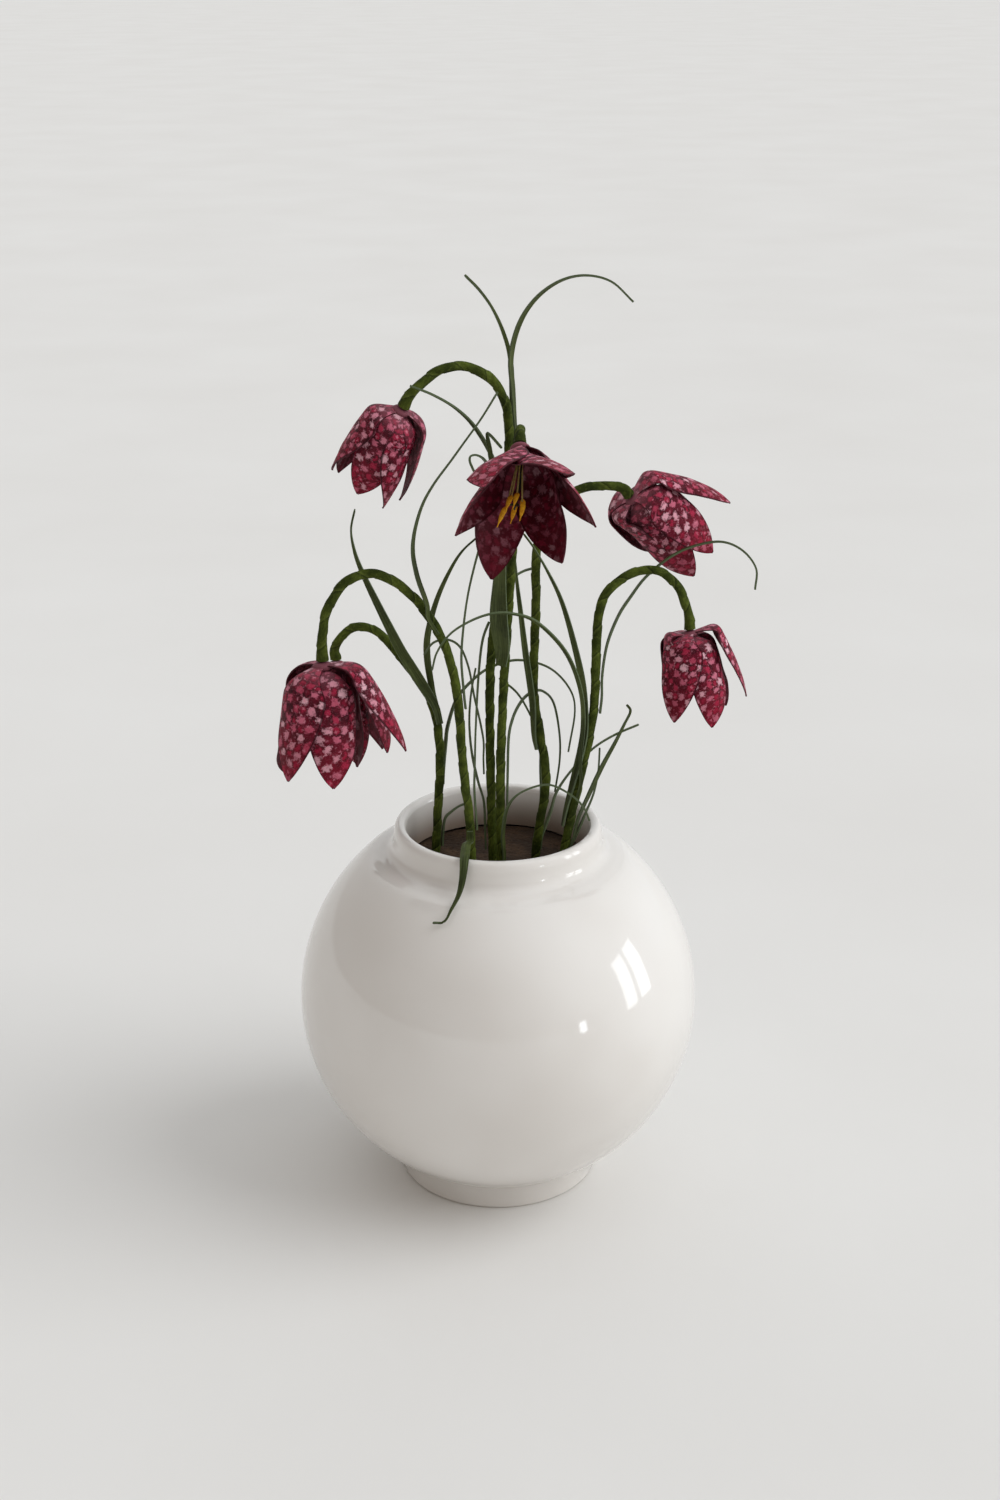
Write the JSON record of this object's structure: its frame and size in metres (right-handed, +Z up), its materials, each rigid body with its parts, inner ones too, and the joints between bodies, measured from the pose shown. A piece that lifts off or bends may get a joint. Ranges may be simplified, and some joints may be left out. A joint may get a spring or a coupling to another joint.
{
  "type": "potted paper snake's head fritillary",
  "caption": "Hand-made paper snake's head fritillaries with chequered nodding bells, wrapped stems and curling paper leaves, standing in a round white glazed vase.",
  "frame": {"origin": "middle of the flat underside of the vase's foot", "axes": "+Z up along the vase's axis, +Y away from the viewer of the picture, +X to the viewer's right"},
  "size_m": [0.144, 0.1316, 0.287],
  "materials": {
    "vase_glaze": "gloss",
    "filling": "matte",
    "stem_wrap": "matte",
    "leaf_paper": "matte",
    "petal_card": "matte",
    "stamen_paper": "matte"
  },
  "bodies": {
    "root": {"bloom_1_petals": "petal_card", "bloom_1_stamens": "stamen_paper", "bloom_2_petals": "petal_card", "bloom_2_stamens": "stamen_paper", "bloom_3_petals": "petal_card", "bloom_3_stamens": "stamen_paper", "bloom_4_petals": "petal_card", "bloom_4_stamens": "stamen_paper", "bloom_5_petals": "petal_card", "bloom_5_stamens": "stamen_paper", "bloom_6_petals": "petal_card", "bloom_6_stamens": "stamen_paper", "filling": "filling", "leaf_back_arch": "leaf_paper", "leaf_back_left": "leaf_paper", "leaf_back_right": "leaf_paper", "leaf_behind_middle": "leaf_paper", "leaf_broad_front": "leaf_paper", "leaf_broad_left": "leaf_paper", "leaf_broad_right": "leaf_paper", "leaf_dark_right": "leaf_paper", "leaf_folded": "leaf_paper", "leaf_front_arch": "leaf_paper", "leaf_left_inner": "leaf_paper", "leaf_left_middle": "leaf_paper", "leaf_loop_left": "leaf_paper", "leaf_low_arch": "leaf_paper", "leaf_low_back": "leaf_paper", "leaf_low_right": "leaf_paper", "leaf_mid_arch": "leaf_paper", "leaf_over_arch": "leaf_paper", "leaf_over_rim": "leaf_paper", "leaf_right_arch": "leaf_paper", "leaf_rim_arch": "leaf_paper", "leaf_rim_right": "leaf_paper", "leaf_small_curl": "leaf_paper", "leaf_thin_dark": "leaf_paper", "leaf_thin_middle": "leaf_paper", "leaf_top_left": "leaf_paper", "leaf_top_right": "leaf_paper", "stem_1": "stem_wrap", "stem_2": "stem_wrap", "stem_3": "stem_wrap", "stem_4": "stem_wrap", "stem_5": "stem_wrap", "stem_6": "stem_wrap", "vase": "vase_glaze"}
  },
  "joints": []
}
